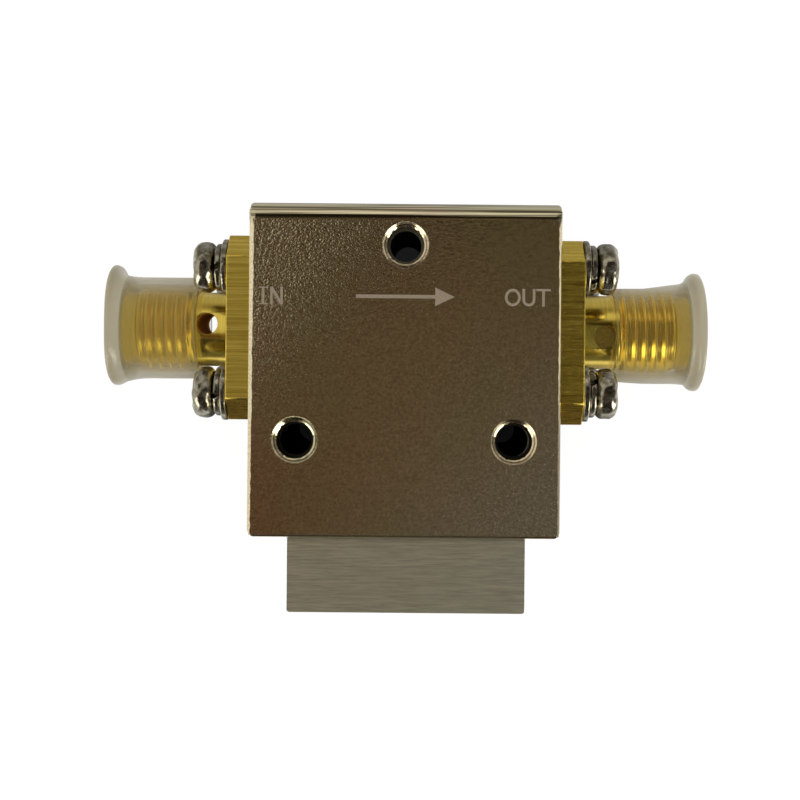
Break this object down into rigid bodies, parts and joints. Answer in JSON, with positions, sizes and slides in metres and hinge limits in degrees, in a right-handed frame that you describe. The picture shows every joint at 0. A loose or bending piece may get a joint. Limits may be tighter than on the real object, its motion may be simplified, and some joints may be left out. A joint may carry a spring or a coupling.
{
  "type": "coaxial isolator",
  "caption": "Coaxial ferrite isolator: a folded steel yoke round an aluminium housing, with a capped flanged jack on each side and mounting holes through the body.",
  "frame": {"origin": "the junction axis, midway between the ports, on the back face that the part is mounted and rests on", "axes": "+X from the input port to the output port, +Y away from the load foot, +Z out of the marked front face"},
  "size_m": [0.0422, 0.0277, 0.015],
  "materials": {
    "nickel_plate": "nickel-plated sheet steel with a fine grain, satin, bright rounded edges",
    "brushed_aluminium": "bare machined aluminium, brushed",
    "gold_plate": "turned brass, gold plated, bright",
    "stainless_steel": "stainless steel, tumbled smooth",
    "cap_polythene": "translucent natural polythene",
    "epoxy": "cured epoxy, dull",
    "ptfe": "turned PTFE",
    "ferrite": "ground ferrite",
    "magnet_plating": "nickel-plated permanent magnet",
    "bare_steel": "ground steel",
    "alumina": "resistive film on an alumina rod"
  },
  "bodies": {
    "root": {"yoke": "nickel_plate", "housing": "brushed_aluminium", "front_magnet": "magnet_plating", "rear_magnet": "magnet_plating", "front_compensation_plate": "bare_steel", "rear_compensation_plate": "bare_steel", "front_pole_plate": "bare_steel", "rear_pole_plate": "bare_steel", "front_ferrite": "ferrite", "rear_ferrite": "ferrite", "centre_conductor": "gold_plate", "load_resistor": "alumina", "load_plug": "brushed_aluminium", "input_connector_body": "gold_plate", "output_connector_body": "gold_plate", "input_insulator": "ptfe", "output_insulator": "ptfe", "input_contact": "gold_plate", "output_contact": "gold_plate", "output_epoxy_plug": "epoxy", "input_cap": "cap_polythene", "output_cap": "cap_polythene", "input_screws": "stainless_steel", "output_screws": "stainless_steel", "input_spring_washers": "stainless_steel", "output_spring_washers": "stainless_steel", "input_flat_washers": "stainless_steel", "output_flat_washers": "stainless_steel"}
  },
  "joints": []
}
